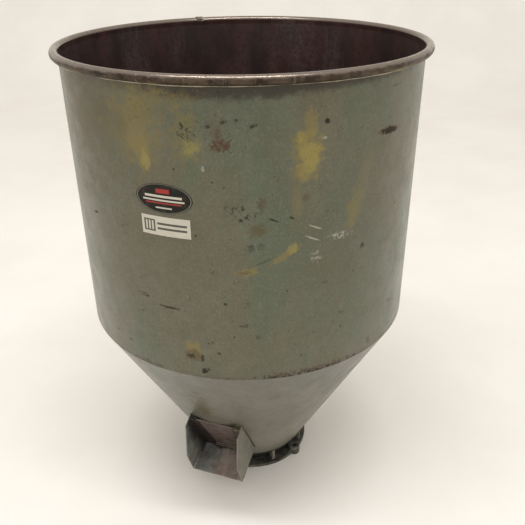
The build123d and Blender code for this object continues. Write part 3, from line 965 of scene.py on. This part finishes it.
@dataclass(frozen=True)
class Sticker:
    """A plain sticker with generic bars for print."""

    name: str
    node: str
    look: Print
    ground: Colour
    ink: Colour
    accent: Colour = srgb(150, 52, 46)
    blur: float = 0.0002

    def beyond(self, sketch: Sketch, along: Socket, middle: float, half: float) -> Socket:
        """How far a point is past a stretch, whose middle and half length are in millimetres."""
        away = sketch.math("ABSOLUTE", sketch.math("SUBTRACT", along, middle / 1000))
        return sketch.math("SUBTRACT", away, half / 1000)

    def bar(self, sketch: Sketch, colour: Socket, at: tuple[Socket, Socket], bar: Bar, ink: Colour) -> Socket:
        """Prints one bar.

        Args:
            sketch: The sticker's graph.
            colour: The colour under the bar.
            at: Where a point is, across and up from the sticker's middle.
            bar: The bar.
            ink: The bar's colour.

        Returns:
            The printed colour.
        """
        across = self.beyond(sketch, at[0], bar.across, bar.half_wide)
        up = self.beyond(sketch, at[1], bar.up, bar.half_tall)
        return sketch.mix(sketch.ramp(sketch.math("MAXIMUM", across, up), self.blur, -self.blur), colour, ink)

    def ruled(self, sketch: Sketch, colour: Socket, at: tuple[Socket, Socket]) -> Socket:
        """Two lines beside a square with three slots.

        Args:
            sketch: The sticker's graph.
            colour: The ground's colour.
            at: Where a point is, across and up from the sticker's middle.

        Returns:
            The printed colour.
        """
        for row in (3.2, -3.2):
            colour = self.bar(sketch, colour, at, Bar(9, row, 20, 1.5), self.ink)
        colour = self.bar(sketch, colour, at, Bar(-22, 0, 8, 8), self.ink)
        for column in (-26.4, -22.0, -17.6):
            colour = self.bar(sketch, colour, at, Bar(column, 0, 1.2, 6), self.ground)
        return colour

    def banded(self, sketch: Sketch, colour: Socket, at: tuple[Socket, Socket],
               half: Sequence[float]) -> Socket:
        """A thin oval line round a stack of bars.

        Args:
            sketch: The sticker's graph.
            colour: The ground's colour.
            at: Where a point is, across and up from the sticker's middle.
            half: Half the sticker's width and height, in metres.

        Returns:
            The printed colour.
        """
        away = sketch.vector("LENGTH", sketch.join(
            sketch.math("DIVIDE", at[0], half[0]), sketch.math("DIVIDE", at[1], half[1])))
        line = sketch.ramp(sketch.math("ABSOLUTE", sketch.math("SUBTRACT", away, 0.955)), 0.020, 0.008)
        colour = sketch.tint(colour, self.ink, line, 0.35)
        for bar, ink in (
            (Bar(0, 9.4, 9.0, 2.8), self.accent),
            (Bar(0, 2.6, 25.0, 1.5), self.ink),
            (Bar(0, -2.4, 28.0, 1.1), self.ink),
            (Bar(0, -6.0, 24.0, 0.9), self.accent),
            (Bar(0, -12.0, 11.0, 0.9), self.ink),
        ):
            colour = self.bar(sketch, colour, at, bar, ink)
        return colour

    def build(self) -> bpy.types.Material:
        """Draws the sticker's graph.

        Returns:
            The finished material.
        """
        low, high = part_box(self.node)
        sketch = Sketch(self.name)
        x, y, z = sketch.split(sketch.place)
        heading = sketch.math("ARCTAN2", x, sketch.times(y, -1.0))
        middle = math.asin((low.x + high.x) / 2 / SIZES.drum_radius)
        across = sketch.times(sketch.math("SUBTRACT", heading, middle), SIZES.drum_radius)
        up = sketch.math("SUBTRACT", z, (low.z + high.z) / 2)
        dirt = sketch.patches(90, 0.45, 0.75, 5, 0.65)
        colour = sketch.tint(self.ground, srgb(120, 112, 96), dirt, 0.18)
        if self.look is Print.RULED:
            colour = self.ruled(sketch, colour, (across, up))
        else:
            colour = self.banded(sketch, colour, (across, up), ((high.x - low.x) / 2, (high.z - low.z) / 2))
        crease = sketch.noise(sketch.place, 55, 3, 0.6)
        normal = sketch.bump(crease, 0.0006, 0.35)
        rough = sketch.ramp(dirt, 0, 1, 0.42, 0.58)
        return sketch.finish(colour, rough, normal, Specular_IOR_Level=0.2)


@dataclass(frozen=True)
class FloorFinish:
    """Plain pale floor, faintly clouded."""

    name: str = "pale_floor"

    def build(self) -> bpy.types.Material:
        """Draws the floor's graph.

        Returns:
            The finished material.
        """
        sketch = Sketch(self.name)
        cloud = sketch.patches(2.5, 0.3, 0.7, 4, 0.6)
        colour = sketch.mix(cloud, srgb(236, 231, 224), srgb(241, 237, 231))
        return sketch.finish(colour, 0.62)


# ---------------------------------------------------------------------------------------------------------
# Mesh making
# ---------------------------------------------------------------------------------------------------------


def new_piece(name: str, mesh: bmesh.types.BMesh, material: bpy.types.Material, body: str,
              smooth: bool = True) -> bpy.types.Object:
    """Turns a finished bmesh into a piece that rides on a body.

    Args:
        name: The piece's name.
        mesh: Its shape, in metres in the hopper's frame.
        material: Its finish.
        body: The body that it rides on.
        smooth: Whether its faces are shaded smooth.

    Returns:
        The new object.
    """
    bmesh.ops.recalc_face_normals(mesh, faces=mesh.faces)
    data = bpy.data.meshes.new(name)
    mesh.to_mesh(data)
    mesh.free()
    for polygon in data.polygons:
        polygon.use_smooth = smooth
    data.materials.append(material)
    piece = bpy.data.objects.new(name, data)
    bpy.context.scene.collection.objects.link(piece)
    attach(piece, body)
    log.info("made %s", name)
    return piece


def join_rings(mesh: bmesh.types.BMesh, rings: Sequence[Sequence[bmesh.types.BMVert]], closed: bool) -> None:
    """Skins a run of rings, each with the same number of points.

    Args:
        mesh: The bmesh that holds them.
        rings: The rings in order.
        closed: Whether the last ring joins the first; otherwise both ends are capped.
    """
    pairs = list(zip(rings, rings[1:]))
    if closed:
        pairs.append((rings[-1], rings[0]))
    else:
        mesh.faces.new(rings[0])
        mesh.faces.new(rings[-1])
    for first, second in pairs:
        for step, corner in enumerate(first):
            after = (step + 1) % len(first)
            mesh.faces.new((corner, first[after], second[after], second[step]))


BEAD_SIDES = 8
RIPPLE = 0.22  # share by which a bead swells and shrinks along its length
RIPPLE_TURN = 2.1  # radians of ripple from one ring to the next
UNEVEN = 0.14
TAPER = 0.35  # share of its size that a bead keeps at its ends


def weld_bead(mesh: bmesh.types.BMesh, route: Sequence[Vector], outward: Callable[[Vector], Vector],
              width: float, height: float, seed: int) -> None:
    """Adds a rippled weld bead along a route.

    Args:
        mesh: The bmesh that it is added to.
        route: Points along its middle, evenly spaced.
        outward: The direction that the bead stands proud in, at a point.
        width: Half its width.
        height: How far it stands proud.
        seed: Seed of its unevenness.
    """
    chance = random.Random(seed)
    rings: list[list[bmesh.types.BMVert]] = []
    for index, point in enumerate(route):
        ahead = route[min(index + 1, len(route) - 1)] - route[max(index - 1, 0)]
        along = ahead.normalized()
        proud = outward(point)
        proud = (proud - along * proud.dot(along)).normalized()
        across = along.cross(proud)
        swell = 1.0 + RIPPLE * math.sin(index * RIPPLE_TURN) + chance.uniform(-UNEVEN, UNEVEN)
        if index in (0, len(route) - 1):
            swell *= TAPER
        loop = []
        for step in range(BEAD_SIDES):
            angle = 2 * math.pi * step / BEAD_SIDES
            offset = across * (width * swell * math.cos(angle)) + proud * (height * swell * math.sin(angle))
            loop.append(mesh.verts.new(point + offset))
        rings.append(loop)
    join_rings(mesh, rings, closed=False)


def spaced(start: Vector, end: Vector, gap: float) -> list[Vector]:
    """Points from start to end, about a gap apart."""
    count = max(3, int((end - start).length / gap))
    return [start.lerp(end, step / count) for step in range(count + 1)]


def level(point: Vector) -> Vector:
    """The level way out to a point from the hopper's middle line."""
    return Vector((point.x, point.y, 0))


# ---------------------------------------------------------------------------------------------------------
# Sub-assemblies
# ---------------------------------------------------------------------------------------------------------


def dress(nodes: Iterable[str], material: bpy.types.Material) -> None:
    """Gives CAD nodes a finish.

    Args:
        nodes: The nodes' names.
        material: Their finish.
    """
    for name in nodes:
        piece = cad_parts[name]
        piece.data.materials.clear()
        piece.data.materials.append(material)
        log.info("dressed %s in %s", name, material.name)


@dataclass
class Drum:
    """The rolled drum and its seam."""

    def dress(self) -> None:
        """Paints the drum and its seam."""
        paint = OldPaint(name="drum_paint", marks=STAINS + SMALL_MARKS)
        dress(("drum_shell", "drum_seam_weld"), paint.build())


@dataclass
class Rim:
    """The rolled rim, its wire and the cut edge of its curl.

    The edge is a small round bar that waves.  Each ripple has its number of waves round the rim, its share of
    the waviness, and its start in radians.
    """

    body: str = "hopper"
    edge_width: float = 0.0020
    edge_height: float = 0.0012
    edge_lift: float = 0.3
    waviness: float = 0.0003
    sway: float = 0.6
    ripples: tuple[tuple[int, float, float], ...] = ((7, 1.0, 1.1), (19, 0.6, 0.0), (43, 0.4, 0.4))
    steps: int = 540
    sides: int = 8

    def dress(self) -> None:
        """Finishes the curl, wire and welds."""
        dress(("rim_curl",), RimSteel().build())
        browned = WornSteel("browned_steel", dark=srgb(50, 40, 34), light=srgb(92, 80, 70),
                            bright=srgb(120, 110, 100))
        dress(("rim_wire", "girth_weld"), browned.build())
        joint = WornSteel("rim_weld_steel", dark=srgb(74, 64, 56), light=srgb(142, 132, 122))
        dress(("rim_joint_weld",), joint.build())

    def build(self) -> None:
        """Makes the cut edge, pressed in unevenly under the curl."""
        mesh = bmesh.new()
        rings = []
        for step in range(self.steps):
            heading = 2 * math.pi * step / self.steps
            wave = sum(share * math.sin(waves * heading + start) for waves, share, start in self.ripples)
            radius = SIZES.wire_circle + self.sway * self.waviness * wave
            height = (SIZES.wire_height - SIZES.curl + self.edge_lift * self.edge_height
                      - self.waviness * wave)
            ring = []
            for side in range(self.sides):
                angle = 2 * math.pi * side / self.sides
                out = radius + self.edge_width * math.cos(angle)
                up = height + self.edge_height * math.sin(angle)
                ring.append(mesh.verts.new((out * math.sin(heading), -out * math.cos(heading), up)))
            rings.append(ring)
        join_rings(mesh, rings, closed=True)
        edge = WornSteel("cut_edge", dark=srgb(122, 110, 86), light=srgb(178, 168, 148),
                         bright=srgb(176, 168, 150), metal=0.25, scale=48)
        new_piece("rim_cut_edge", mesh, edge.build(), self.body)


@dataclass
class Cone:
    """The cone and its seam."""

    def dress(self) -> None:
        """Paints the cone and its seam."""
        dress(("cone_shell", "cone_seam_weld"), OldPaint(
            name="cone_paint", green=srgb(78, 87, 72), brown=srgb(99, 87, 76), grey=srgb(102, 101, 91),
            marks=CONE_MARKS).build())


@dataclass
class Base:
    """The ringed outlet base and its welds.

    Ridges stand beside each lug at the ridge steps round the ring, each a ridge fall lower than the last.  A
    web's bead lies in from the web's end by a set-in, and reaches half its length either way.
    """

    body: str = "hopper"
    ridge_steps: tuple[float, ...] = (0.0095, 0.0128, 0.0158)
    ridge_width: float = 0.0013
    ridge_fall: float = 0.0022
    ridge_inset: float = 1.4
    ridge_start: float = 0.6
    ridge_foot: float = 0.3
    ridge_gap: float = 0.002
    ridge_seed: int = 40
    web_inset: float = 0.0015
    web_head: tuple[float, float] = (0.0006, 0.0050)
    web_foot: tuple[float, float] = (0.0004, 0.0040)
    web_bead: tuple[float, float] = (0.0014, 0.0012)
    web_gap: float = 0.0016
    web_seed: int = 90

    def names(self, stem: str) -> list[str]:
        """Nodes whose names start with a stem."""
        return sorted(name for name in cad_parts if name.startswith(stem))

    def outward(self, name: str) -> Vector:
        """The level direction of a node from the middle of the base."""
        low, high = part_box(name)
        return Vector(((low.x + high.x) / 2, (low.y + high.y) / 2, 0)).normalized()

    def dress(self) -> tuple[bpy.types.Material, bpy.types.Material]:
        """Finishes the ring, lugs, throat and webs.

        Returns:
            The ring's finish and the webs'.
        """
        # The throat's collar, tube and weld are near black: dark steel, with painted shade that makes the
        # windows between the webs dark.
        dark = WornSteel("dark_steel_and_painted_shade", dark=srgb(12, 12, 10), light=srgb(36, 34, 29),
                         bright=srgb(70, 68, 60), metal=0.2, rough_low=0.45, rough_high=0.7)
        dress(["throat_collar", "throat_tube", "throat_weld"], dark.build())
        ring = WornSteel("base_ring_metal", dark=srgb(44, 42, 36), light=srgb(96, 93, 83),
                         bright=srgb(146, 143, 132), metal=0.2, rough_low=0.42, rough_high=0.65).build()
        dress(["base_ring", *self.names("base_lug")], ring)
        web = PlatePaint(name="web_paint").build()
        dress(self.names("base_web"), web)
        return ring, web

    def lug_welds(self, finish: bpy.types.Material) -> None:
        """Upright weld ridges on both sides of each lug, stepping down onto the ring.

        Args:
            finish: Their finish.
        """
        ring_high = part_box("base_ring")[1]
        circle = ring_high.x - self.ridge_inset * self.ridge_width
        mesh = bmesh.new()
        for index, name in enumerate(self.names("base_lug")):
            out = self.outward(name)
            for side in (-1, 1):
                for step, offset in enumerate(self.ridge_steps):
                    foot = Matrix.Rotation(side * offset / circle, 3, "Z") @ out * circle
                    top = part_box(name)[1].z - (step + self.ridge_start) * self.ridge_fall
                    low_end = foot + Vector((0, 0, self.ridge_foot * ring_high.z))
                    route = spaced(low_end, foot + Vector((0, 0, top)), self.ridge_gap)
                    weld_bead(mesh, route, level, self.ridge_width, self.ridge_width,
                              seed=self.ridge_seed + 10 * index + step)
        new_piece("lug_weld_ridges", mesh, finish, self.body)

    def web_welds(self, finish: bpy.types.Material) -> None:
        """A short bead across the head and the foot of each web, where it flares into its neighbours.

        Args:
            finish: Their finish.
        """
        mesh = bmesh.new()
        for index, name in enumerate(self.names("base_web")):
            low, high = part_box(name)
            out = self.outward(name)
            along = Vector((-out.y, out.x, 0))
            face = out * (SIZES.outlet_radius - self.web_inset)
            for height, half in (
                (high.z - self.web_head[0], self.web_head[1]),
                (low.z + self.web_foot[0], self.web_foot[1]),
            ):
                middle = face + Vector((0, 0, height))
                route = spaced(middle - along * half, middle + along * half, self.web_gap)
                weld_bead(mesh, route, level, *self.web_bead, seed=self.web_seed + index)
        new_piece("web_weld_beads", mesh, finish, self.body)

    def build(self) -> None:
        """Dresses the base and lays its welds."""
        ring, web = self.dress()
        self.lug_welds(ring)
        self.web_welds(web)


@dataclass
class Chute:
    """The clean-out chute, its guides and its welds.

    The bead sizes are for the welds outside, along the cheeks, and the corner sizes for those inside, along
    the floor, which are near white over a share of their length from the toe: polished steel, with a painted
    highlight along the corner.
    """

    body: str = "hopper"
    bead_width: float = 0.0016
    bead_height: float = 0.0014
    bead_gap: float = 0.0020
    bead_lean: float = 0.8
    bead_seed: int = 11
    corner_width: float = 0.0018
    corner_height: float = 0.0011
    corner_gap: float = 0.0024
    corner_lean: float = 0.2
    corner_seed: int = 23
    floor_lift: float = 1.06
    scraped_and_highlit_left: float = 0.50
    scraped_and_highlit_right: float = 0.12

    def dress(self) -> None:
        """Finishes the plates and guides."""
        plates = PlatePaint(name="chute_paint", inner_half=SIZES.cheek_inner).build()
        dress(("chute_cheek_left", "chute_cheek_right", "chute_floor"), plates)
        guides = WornSteel("guide_steel", dark=srgb(40, 34, 22), light=srgb(86, 80, 60), scale=90)
        dress(("guide_spacer_right", "guide_strip_right", "gate_stop_right"), guides.build())
        # The left spacer, strip and stop get a darker copy of the guide steel: painted shade, as they stand
        # in the left cheek's shadow; their lighter edges paint the highlight along the strip's inner edge.
        shaded = WornSteel("guide_steel_painted_shade", dark=srgb(22, 16, 14), light=srgb(46, 34, 29),
                           bright=srgb(128, 108, 98), scale=90, metal=0.3)
        dress(("guide_spacer_left", "guide_strip_left", "gate_stop_left"), shaded.build())

    def cone_line(self, side: int) -> list[Vector]:
        """Where a cheek's outer face meets the cone.

        Args:
            side: -1 for the left cheek, 1 for the right.

        Returns:
            Points from the cheek's foot to its top.
        """
        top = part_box("chute_cheek_right")[1].z
        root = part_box("chute_floor")[1].z
        count = int((top - root) / self.bead_gap)
        line = []
        for step in range(count + 1):
            height = root + (top - root) * step / count
            out = math.sqrt(SIZES.cone_radius(height) ** 2 - SIZES.cheek ** 2)
            line.append(Vector((side * SIZES.cheek, -out, height)))
        return line

    def floor_corner(self, side: int) -> tuple[Vector, Vector]:
        """The inside corner between the floor and a cheek.

        Args:
            side: -1 for the left cheek, 1 for the right.

        Returns:
            The corner's toe and root.
        """
        low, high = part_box("chute_floor")
        across = side * SIZES.cheek_inner
        toe = Vector((across, low.y, low.z + self.floor_lift * SIZES.sheet))
        return toe, Vector((across, high.y, high.z))

    def cheek_weld(self, side: int, name: str, finish: bpy.types.Material) -> None:
        """The bead outside, where a cheek meets the cone.

        Args:
            side: -1 for the left cheek, 1 for the right.
            name: The cheek's side in words.
            finish: The bead's finish.
        """
        mesh = bmesh.new()
        weld_bead(
            mesh, self.cone_line(side),
            lambda point: Vector((side * self.bead_lean, point.y / SIZES.drum_radius, -math.sin(SIZES.lean))),
            self.bead_width, self.bead_height, seed=self.bead_seed + side)
        new_piece(f"cheek_weld_{name}", mesh, finish, self.body)

    def corner_weld(self, side: int, name: str, start: Vector, end: Vector,
                    finish: bpy.types.Material) -> None:
        """A stretch of the bead inside, along the floor.

        Args:
            side: -1 for the left cheek, 1 for the right.
            name: The piece's name.
            start: Its end nearer the toe.
            end: Its end nearer the root.
            finish: Its finish.
        """
        mesh = bmesh.new()
        proud = Vector((-side, -self.corner_lean, 1.0))
        weld_bead(mesh, spaced(start, end, self.corner_gap), lambda point: proud,
                  self.corner_width, self.corner_height, seed=self.corner_seed + side)
        new_piece(name, mesh, finish, self.body)

    def build(self) -> None:
        """Lays the weld beads outside, where the cheeks meet the cone, and inside, along the floor."""
        steel = WornSteel("weld_steel", dark=srgb(46, 39, 32), light=srgb(84, 80, 68), scale=160).build()
        # Near-white steel for the floor welds' stretch next to the toe: polished steel, with a painted
        # highlight along the corner.
        bright = WornSteel("scraped_weld_and_highlight", dark=srgb(158, 155, 148), light=srgb(222, 220, 214),
                           bright=srgb(226, 224, 218), scale=40, rough_low=0.25, rough_high=0.4).build()
        for side, name, scraped_and_highlit in ((-1, "left", self.scraped_and_highlit_left), (1, "right", self.scraped_and_highlit_right)):
            self.cheek_weld(side, name, steel)
            toe, root = self.floor_corner(side)
            scraped_and_highlit_to = toe.lerp(root, scraped_and_highlit)
            self.corner_weld(side, f"floor_weld_{name}_scraped", toe, scraped_and_highlit_to, bright)
            self.corner_weld(side, f"floor_weld_{name}_dark", scraped_and_highlit_to, root, steel)


@dataclass
class Gate:
    """The sliding gate."""

    def dress(self) -> None:
        """Primes the gate."""
        dress(("gate_plate",), GatePrimer().build())


@dataclass
class Stickers:
    """The label and the oval sticker."""

    def dress(self) -> None:
        """Prints both in generic bars."""
        label = Sticker("label_stock", "asset_label", Print.RULED, srgb(191, 186, 171), srgb(84, 82, 76))
        dress((label.node,), label.build())
        oval = Sticker("sticker_film", "oval_sticker", Print.BANDED, srgb(24, 22, 14), srgb(190, 184, 170))
        dress((oval.node,), oval.build())


@dataclass(frozen=True)
class Lamp:
    """A soft area light: where it hangs, what it points at, its width and height in metres, and its watts."""

    name: str
    place: tuple[float, float, float]
    aim: tuple[float, float, float]
    size: tuple[float, float]
    power: float

    def hang(self) -> None:
        """Adds the light to the scene."""
        data = bpy.data.lights.new(self.name, "AREA")
        data.shape = "RECTANGLE"
        data.size, data.size_y = self.size
        data.energy = self.power
        lamp = bpy.data.objects.new(self.name, data)
        lamp.location = self.place
        lamp.rotation_euler = (Vector(self.aim) - Vector(self.place)).to_track_quat("-Z", "Y").to_euler()
        bpy.context.scene.collection.objects.link(lamp)


@dataclass
class Stage:
    """Floor, backdrop, lights and camera; lengths are in metres and angles in degrees."""

    floor_half: float = 6.0
    sweep_start: float = 2.4
    sweep_radius: float = 1.6
    sweep_steps: int = 24
    heading: float = 21.4
    distance: float = 0.9342
    height: float = 0.857
    pitch: float = 27.82
    turn_right: float = 1.49
    roll: float = -0.65
    lens: float = 43.07
    sensor: float = 36.0
    lamps: tuple[Lamp, ...] = (
        Lamp("ceiling", (0.1, -0.5, 2.5), (0, 0, 0.4), (1.8, 0.20), 27),
        Lamp("left_fill", (-1.6, -2.2, 1.8), (0, 0, 0.4), (1.2, 1.2), 1.5),
    )
    surround: Colour = (0.95, 0.93, 0.89, 1)

    def profile(self) -> list[tuple[float, float]]:
        """The floor's profile, flat and then swept up into a wall.

        Returns:
            How far back and how high each of its points is.
        """
        points = [(-self.floor_half, 0.0)]
        for step in range(self.sweep_steps + 1):
            turn = math.pi / 2 * step / self.sweep_steps
            back = self.sweep_start + self.sweep_radius * math.sin(turn)
            points.append((back, self.sweep_radius * (1 - math.cos(turn))))
        points.append((self.sweep_start + self.sweep_radius, self.floor_half))
        return points

    def floor(self) -> None:
        """A pale floor that sweeps up far behind the hopper."""
        turned = Matrix.Rotation(math.radians(self.heading), 3, "Z")
        mesh = bmesh.new()
        rows = [
            [mesh.verts.new(turned @ Vector((side * self.floor_half, back, up))) for side in (-1, 1)]
            for back, up in self.profile()
        ]
        for near, far in zip(rows, rows[1:]):
            mesh.faces.new((near[0], near[1], far[1], far[0]))
        data = bpy.data.meshes.new("floor")
        mesh.to_mesh(data)
        mesh.free()
        for polygon in data.polygons:
            polygon.use_smooth = True
        data.materials.append(FloorFinish().build())
        floor = bpy.data.objects.new("floor", data)
        bpy.context.scene.collection.objects.link(floor)

    def lights(self) -> None:
        """A long soft ceiling light, a faint fill and a bright even surround."""
        for lamp in self.lamps:
            lamp.hang()
        world = bpy.data.worlds.new("surround")
        world.use_nodes = True
        ground = world.node_tree.nodes["Background"]
        ground.inputs["Color"].default_value = self.surround
        ground.inputs["Strength"].default_value = 1.0
        bpy.context.scene.world = world

    def camera(self) -> None:
        """The camera, just above the rim's height and looking down at the hopper."""
        data = bpy.data.cameras.new("camera")
        data.lens = self.lens
        data.sensor_width = self.sensor
        camera = bpy.data.objects.new("camera", data)
        heading = math.radians(self.heading)
        place = Vector((self.distance * math.sin(heading), -self.distance * math.cos(heading), self.height))
        camera.matrix_world = (
            Matrix.Translation(place)
            @ Matrix.Rotation(heading - math.radians(self.turn_right), 4, "Z")
            @ Matrix.Rotation(math.radians(90 - self.pitch), 4, "X")
            @ Matrix.Rotation(math.radians(self.roll), 4, "Z")
        )
        bpy.context.scene.collection.objects.link(camera)
        bpy.context.scene.camera = camera

    def build(self) -> None:
        """Sets the whole stage."""
        self.floor()
        self.lights()
        self.camera()
        bpy.context.scene.view_settings.view_transform = "Standard"


def main() -> None:
    """Dresses and details each sub-assembly in turn."""
    Stage().build()
    Drum().dress()
    rim = Rim()
    rim.dress()
    rim.build()
    Cone().dress()
    Base().build()
    chute = Chute()
    chute.dress()
    chute.build()
    Gate().dress()
    Stickers().dress()


if __name__ == "__main__":
    logging.basicConfig(level=logging.INFO, format="%(name)s: %(message)s")
    main()
